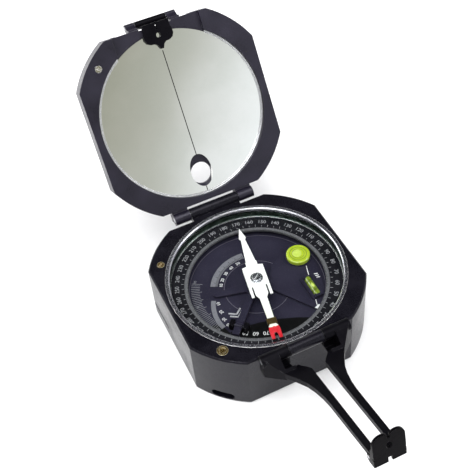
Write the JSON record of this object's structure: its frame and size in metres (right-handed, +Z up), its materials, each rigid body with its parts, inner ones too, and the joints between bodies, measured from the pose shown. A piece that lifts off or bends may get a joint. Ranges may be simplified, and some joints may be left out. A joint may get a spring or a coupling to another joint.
{
  "type": "sighting compass",
  "caption": "Pocket sighting compass: black octagonal case with dial, needle and levels, hinged mirror lid and folding slotted sighting arm.",
  "frame": {"origin": "on the needle's axis at the flat underside of the case", "axes": "+Z up out of the dial, +Y towards the lid hinge, -Y along the sighting arm, +X to the right seen from the arm's end"},
  "size_m": [0.069, 0.173, 0.0853],
  "materials": {
    "black_enamel": "satin black stoved enamel on die-cast aluminium",
    "black_dial": "matt black painted sheet",
    "bright_ring": "bright plated",
    "steel": "plain turned steel",
    "spring_steel": "spring steel",
    "brass": "turned brass",
    "white_needle": "white painted blade with a red tail",
    "magnet": "magnet steel",
    "copper_wire": "copper wire",
    "jewel": "polished synthetic ruby",
    "clear_glass": "clear float glass",
    "vial_liquid": "yellow-green spirit in a clear vial",
    "mirror_glass": "silvered glass",
    "black_spacer": "matt black moulding",
    "grey_insert": "satin grey, graduated"
  },
  "bodies": {
    "case": {"case_body": "black_enamel", "lock_pin_bush": "brass", "lift_lever_bracket": "black_dial", "lift_lever_pin": "steel", "dial_plate": "black_dial", "dial_plate_screws": "steel", "bezel_ring": "bright_ring", "cover_glass": "clear_glass", "glass_spacer": "black_spacer", "dial_retaining_ring": "bright_ring", "clinometer_bush": "brass", "friction_washer": "spring_steel", "lid_hinge_pin": "steel", "arm_hinge_pin": "steel", "lock_pin_spring": "spring_steel"},
    "lid": {"lid_shell": "black_enamel", "mirror": "mirror_glass", "mirror_retaining_ring": "bright_ring", "lid_lock_screw": "brass", "lid_sight_pin": "steel"},
    "lid_sight": {"lid_sight": "black_enamel"},
    "arm": {"sighting_arm": "black_enamel"},
    "tip_sight": {"tip_sight": "black_enamel", "tip_sight_pin": "steel"},
    "needle": {"needle_blade": "white_needle", "needle_magnets": "magnet", "needle_hub": "bright_ring", "needle_jewel": "jewel", "balance_wire": "copper_wire"},
    "azimuth": {"azimuth_ring": "black_dial", "graduated_insert": "grey_insert"},
    "pinion": {"azimuth_pinion": "brass", "declination_screw": "brass"},
    "clinometer": {"clinometer_arm": "black_dial", "clinometer_shaft": "steel", "clinometer_crank": "black_enamel", "crank_screw": "steel", "shaft_clip": "spring_steel", "round_level_cup": "black_dial", "round_level_vial": "vial_liquid", "tube_level_holder": "black_dial", "tube_level_vial": "vial_liquid", "pivot_post": "steel"},
    "lock_pin": {"lock_pin": "brass"},
    "lift_lever": {"lift_lever": "black_dial"}
  },
  "joints": [
    {"name": "lid_hinge", "type": "hinge", "parent": "case", "child": "lid", "pos_m": [0, 0.0371, 0.025], "axis": [1, 0, 0], "range_deg": [-56.8, 123.2]},
    {"name": "lid_sight_hinge", "type": "hinge", "parent": "lid", "child": "lid_sight", "pos_m": [0, 0.08196, 0.08241], "axis": [-1, 0, 0], "range_deg": [0, 170]},
    {"name": "arm_hinge", "type": "hinge", "parent": "case", "child": "arm", "pos_m": [0, -0.0373, 0.0273], "axis": [-1, 0, 0], "range_deg": [-22.2, 162]},
    {"name": "tip_sight_hinge", "type": "hinge", "parent": "arm", "child": "tip_sight", "pos_m": [0, -0.08594, 0.03522], "axis": [-1, 0, 0], "range_deg": [0, 88]},
    {"name": "needle_spin", "type": "hinge", "parent": "case", "child": "needle", "pos_m": [0, 0, 0.02], "axis": [0, 0, 1], "continuous": true},
    {"name": "azimuth_turn", "type": "hinge", "parent": "case", "child": "azimuth", "pos_m": [0, 0, 0.018], "axis": [0, 0, 1], "continuous": true},
    {"name": "pinion_turn", "type": "hinge", "parent": "case", "child": "pinion", "pos_m": [-0.02922, 0.01963, 0.018], "axis": [0, 0, 1], "continuous": true},
    {"name": "clinometer_turn", "type": "hinge", "parent": "case", "child": "clinometer", "pos_m": [0, 0, 0.01], "axis": [0, 0, 1], "range_deg": [-66, 90]},
    {"name": "lift_lever_tilt", "type": "hinge", "parent": "case", "child": "lift_lever", "pos_m": [-0.01406, -0.01423, 0.018], "axis": [0.7113, -0.7029, 0], "range_deg": [0, 2.21], "stiffness_Nm_per_rad": 0.1, "springref_deg": -2.86},
    {"name": "lock_pin_slide", "type": "slide", "parent": "case", "child": "lock_pin", "axis": [0, 0, -1], "range_m": [0, 0.0006], "deforming": ["lock_pin_spring"]}
  ],
  "couplings": [
    {"joint": "pinion_turn", "follows": "azimuth_turn", "ratio": -11.571},
    {"joint": "lock_pin_slide", "follows": "lift_lever_tilt", "m_per_rad": 0.015568}
  ]
}
